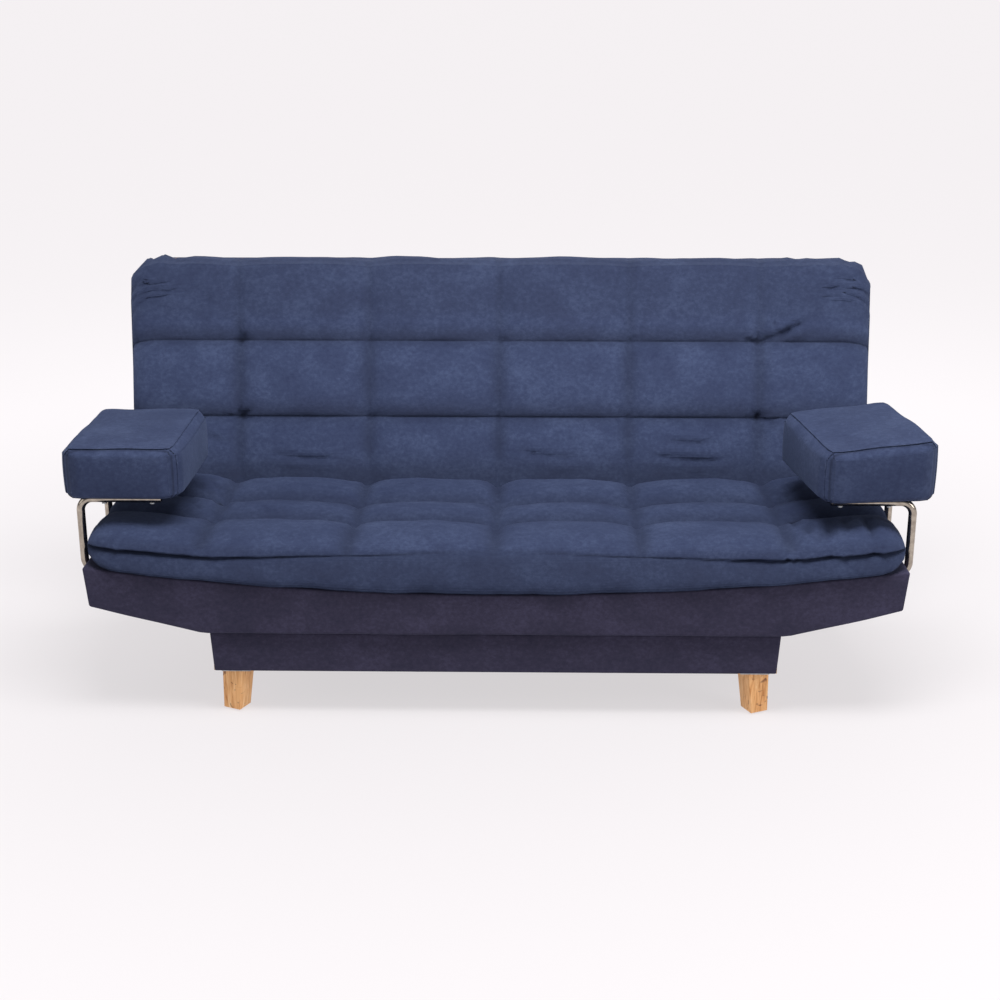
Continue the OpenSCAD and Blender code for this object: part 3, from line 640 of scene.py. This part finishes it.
# The underside is flat this far either side, and the cover is this deep at its ends.
flat_half, end_depth = 0.636, 0.088
rise_at_end = cover_high.z - end_depth - cover_low.z
outward = np.clip((np.abs(points[:, 0]) - flat_half) / (frame_half - flat_half), 0, 1)
bottom = cover_low.z - 0.001 + rise_at_end * outward
top = frame_top(points[:, 0]) + 0.0006
share = points[:, 2]
edge = 0.005
tall = top - bottom
# The bevelled edges keep their size while the face between them is stretched to fit.
ease_low, ease_high = np.minimum(share, edge), np.minimum(1 - share, edge)
face_share = (share - ease_low - edge + ease_high) / (1 - 2 * edge)
share = (ease_low + (tall - 2 * edge) * face_share + edge - ease_high) / tall
points[:, 2] = bottom + tall * share
near_end = np.clip((np.abs(points[:, 0]) - 0.8) / 0.08, 0, 1)
points[:, 0] *= 1 - 0.009 / frame_half * (1 - share) * near_end
write_points(frame_cover, points)
points = read_points(frame_cover)
points[:, 1] += 0.0010 * smooth_noise(points, 0.21, 21) + 0.0004 * smooth_noise(points, 0.07, 22)
points[:, 2] += 0.0003 * smooth_noise(points, 0.25, 23)
write_points(frame_cover, points)
bpy.ops.object.shade_smooth_by_angle(angle=math.radians(50))
finish_cloth(frame_cover, "seat", "seat_frame_cover", cloth=frame_suede_painted_shade)

# The plinth is boxed in the same cover, drawn tight and a touch narrower at its foot.
plinth_low, plinth_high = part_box("plinth_cover")
skin = Vector((proud, proud, 0))
plinth = soft_block("plinth_suede", plinth_low - skin, plinth_high + skin, (100, 20, 6), 0.004)
points = read_points(plinth)
share = (points[:, 2] - plinth_low.z) / (plinth_high.z - plinth_low.z)
points[:, 0] *= 1 - 0.006 / plinth_high.x * (1 - share)
points[:, 1] += 0.0009 * smooth_noise(points, 0.22, 31) + 0.0004 * smooth_noise(points, 0.06, 32)
write_points(plinth, points)
bpy.ops.object.shade_smooth_by_angle(angle=math.radians(50))
finish_cloth(plinth, "base", "plinth_cover", cloth=frame_suede_painted_shade)

# The back frame's cover wraps the rails behind the cushion, flat at the rear with round
# corners, and rides with the back.
rear_half = back_half - 0.006
rear_depth = 0.1495
rear = soft_block("back_frame_suede", (-rear_half, foam + 0.001, back_low + 0.004),
    (rear_half, rear_depth, back_top - 0.006), (90, 4, 30), 0.009)
points = read_points(rear)
rx, rw, ru = points.T
share = np.clip((ru - middle_u) / (back_top - middle_u), 0, 1)
ru = ru - corner_drop(rx, rear_half) * share
waves = 0.0012 * smooth_noise(points, 0.25, 41) + 0.0006 * smooth_noise(points, 0.08, 42)
rw = rw + np.where(rw > 0.13, 1, 0) * waves
write_points(rear, lean_back(rx, rw, ru))
bpy.ops.object.shade_smooth_by_angle(angle=math.radians(50))
finish_cloth(rear, "back", "back_cover")

# Each arm pad is a foam block on a board, boxed in suede. Its faces crown, its corners are
# rounded, and a seam runs round the front face. The right pad sits turned and tilted.
pad_w, pad_l, pad_h = 0.252, 0.358, 0.110
pad_edge = 0.024
for side, turn_deg, tilt_deg in (("left", 0.0, 0.0), ("right", 7.0, 5.0)):
    sign = -1 if side == "left" else 1
    plate_low, plate_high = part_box(f"arm_{side}_plate")
    centre = (plate_low + plate_high) / 2
    pad = soft_block(f"arm_{side}_pad_cover", (-pad_w / 2, -pad_l / 2, 0),
        (pad_w / 2, pad_l / 2, pad_h), (26, 36, 12), pad_edge, 6)
    points = read_points(pad)
    x, y, z = points.T
    fx, fy, fz = 2 * x / pad_w, 2 * y / pad_l, 2 * z / pad_h - 1
    cx, cy, cz = (np.clip(1 - f ** 2, 0, 1) for f in (fx, fy, fz))
    # Seen from above, the corners are rounder than the bevelled edges.
    pinch = np.clip((np.abs(fy) - 0.80) / 0.20, 0, 1) * np.clip((np.abs(fx) - 0.70) / 0.30, 0, 1)
    x, y = x - np.sign(fx) * 0.010 * pinch, y - np.sign(fy) * 0.012 * pinch
    x = x + np.sign(fx) * 0.0075 * np.abs(fx) ** 3 * cy ** 0.6 * cz ** 0.6
    y = y + np.sign(fy) * 0.0060 * np.abs(fy) ** 3 * cx ** 0.6 * cz ** 0.6
    z = z + 0.010 * np.clip(fz, 0, 1) ** 2 * (cx * cy) ** 0.5
    z = z + 0.0016 * smooth_noise(points, 0.12, 51) * np.clip(fz, 0, 1)
    # The front seam draws the cover in along a line just behind the face.
    seam_y = -pad_l / 2 + 0.013
    hug = np.exp(-((points[:, 1] - seam_y) / 0.006) ** 2)
    x, z = x * (1 - 0.005 * hug), z - 0.0010 * hug * np.clip(fz, 0, 1)
    # The lower bevel is pressed flatter against the board.
    z = np.where(z < pad_edge, z - 0.6 * z * (1 - z / pad_edge), z)
    write_points(pad, np.stack([x, y, z], 1))
    bpy.ops.object.select_all(action="DESELECT")
    pad.select_set(True)
    bpy.context.view_layer.objects.active = pad
    round_off = pad.modifiers.new("cells", "SUBSURF")
    round_off.levels = round_off.render_levels = 1
    bpy.ops.object.modifier_apply(modifier="cells")
    points = read_points(pad)
    # Painted shade along the front seam line.
    mark_folds(pad, 0.55 * np.exp(-((points[:, 1] - seam_y) / 0.0018) ** 2))
    tilt, spin = math.radians(tilt_deg), math.radians(turn_deg)
    inner = -pad_w / 2
    x, y, z = points.T
    z = z + (x - inner) * math.tan(tilt) * np.clip(z / pad_h, 0, 1)
    x, y = x * math.cos(spin) - y * math.sin(spin), x * math.sin(spin) + y * math.cos(spin)
    write_points(pad, np.stack([sign * x + centre.x, y + centre.y, z + plate_low.z + 0.0006], 1))
    bpy.ops.object.mode_set(mode="EDIT")
    bpy.ops.mesh.select_all(action="SELECT")
    bpy.ops.mesh.normals_make_consistent(inside=False)
    bpy.ops.object.mode_set(mode="OBJECT")
    bpy.ops.object.shade_smooth()
    finish_cloth(pad, f"arm_{side}", f"arm_{side}_pad", fill=0.9)


def mottled_material(name, rough, scale, detail, dark, pale, metal=0.0, rough_span=None):
    """A plain material with a fine mottle between two hex colours, scale cells to the metre;
    rough_span lets the mottle vary the roughness too."""
    material, tree, shader = new_material(name, rough, metal=metal)
    place = add_node(tree, "ShaderNodeTexCoord").outputs["Object"]
    mottle = add_node(tree, "ShaderNodeTexNoise", {"Scale": scale, "Detail": detail},
        Vector=place).outputs["Fac"]
    tree.links.new(ramp(tree, mottle, [(0.3, dark), (0.7, pale)]), shader.inputs["Base Color"])
    if rough_span:
        tree.links.new(stretch(tree, mottle, 0.0, 1.0, *rough_span), shader.inputs["Roughness"])
    return material


# The tubes are mild steel, bent, polished and chromium plated: a bright mirror. Its colour is tinted warm, a
# painted reflection of a warm room in front of it.
chrome = mottled_material("chromium_plated_tube", 0.12, 90.0, 3.0, "#8f857b", "#b3a99c", 1.0, (0.08, 0.2))

# The fittings are pressed steel, zinc plated and passivated: dull silver with faint bloom.
zinc = mottled_material("zinc_plated_steel", 0.38, 60.0, 5.0, "#8c9096", "#b7babd", 1.0, (0.28, 0.5))

# Frame boards are sawn pine, pale and open in grain; the dust cover is black non-woven
# cloth; the glides are moulded polyethylene.
pine, tree, shader = new_material("sawn_pine", 0.75)
place = add_node(tree, "ShaderNodeTexCoord").outputs["Object"]
grain_way = add_node(tree, "ShaderNodeMapping", {"Scale": (3.0, 60.0, 60.0)}, Vector=place).outputs["Vector"]
grain = add_node(tree, "ShaderNodeTexNoise", {"Scale": 1.0, "Detail": 6.0, "Distortion": 0.6},
    Vector=grain_way).outputs["Fac"]
tone = ramp(tree, grain, [(0.3, "#b98a55"), (0.5, "#d3a972"), (0.7, "#e2c08f")])
tree.links.new(tone, shader.inputs["Base Color"])
saw = add_node(tree, "ShaderNodeBump", {"Strength": 0.3, "Distance": 0.0008}, Height=grain)
tree.links.new(saw.outputs["Normal"], shader.inputs["Normal"])

felt = mottled_material("nonwoven_dust_cloth", 0.95, 400.0, 2.0, "#141414", "#242424")
polyethylene = mottled_material("moulded_polyethylene", 0.45, 500.0, 1.0, "#1b1a19", "#262422")

finishes = {"chrome_tube": chrome, "zinc_steel": zinc, "frame_wood": pine, "dust_cloth": felt,
    "glide_plastic": polyethylene}
for part in frame["record"]["subparts"]:
    finish = finishes.get(part["material_slot"])
    if finish:
        cad_object = nodes[part["node"]]
        cad_object.data.materials.clear()
        cad_object.data.materials.append(finish)

# The legs are solid hardwood, sawn square, tapered, splayed and oiled. The grain runs down
# them, with dark knots; the fine drying cracks in them are not drawn.
leg_wood, tree, shader = new_material("oiled_hardwood", 0.52)
place = add_node(tree, "ShaderNodeTexCoord").outputs["Object"]
down = add_node(tree, "ShaderNodeMapping", {"Scale": (90.0, 90.0, 9.0)}, Vector=place).outputs["Vector"]
grain = add_node(tree, "ShaderNodeTexNoise", {"Scale": 1.6, "Detail": 6.0, "Distortion": 1.4},
    Vector=down).outputs["Fac"]
knots = add_node(tree, "ShaderNodeTexNoise", {"Scale": 34.0, "Detail": 2.0, "Distortion": 2.2},
    Vector=place).outputs["Fac"]
base = ramp(tree, grain, [(0.28, "#b97638"), (0.45, "#e2a567"), (0.6, "#efb87c"), (0.75, "#f6cf9d")])
spots = stretch(tree, knots, 0.62, 0.74)
tree.links.new(darken(tree, spots, base, "#6b3b1b"), shader.inputs["Base Color"])
pores = add_node(tree, "ShaderNodeBump", {"Strength": 0.35, "Distance": 0.0008}, Height=grain)
tree.links.new(pores.outputs["Normal"], shader.inputs["Normal"])
for corner in ("front_left", "front_right", "rear_left", "rear_right"):
    source = nodes[f"leg_{corner}"]
    bpy.ops.object.select_all(action="DESELECT")
    leg = source.copy()
    leg.data = source.data.copy()
    leg.name = f"leg_{corner}_turned"
    for key in list(leg.keys()):
        del leg[key]
    leg.parent = None
    bpy.context.scene.collection.objects.link(leg)
    leg.select_set(True)
    bpy.context.view_layer.objects.active = leg
    bpy.ops.object.mode_set(mode="EDIT")
    bpy.ops.mesh.select_all(action="SELECT")
    bpy.ops.mesh.remove_doubles(threshold=0.00005)
    bpy.ops.mesh.dissolve_limited(angle_limit=math.radians(4))
    bpy.ops.object.mode_set(mode="OBJECT")
    ease = leg.modifiers.new("eased_edges", "BEVEL")
    ease.width = 0.0016
    ease.segments = 3
    ease.limit_method = "ANGLE"
    ease.angle_limit = math.radians(40)
    bpy.ops.object.modifier_apply(modifier="eased_edges")
    bpy.ops.object.shade_smooth_by_angle(angle=math.radians(35))
    leg.data.materials.clear()
    leg.data.materials.append(leg_wood)
    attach(leg, "base")
    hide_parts(f"leg_{corner}")
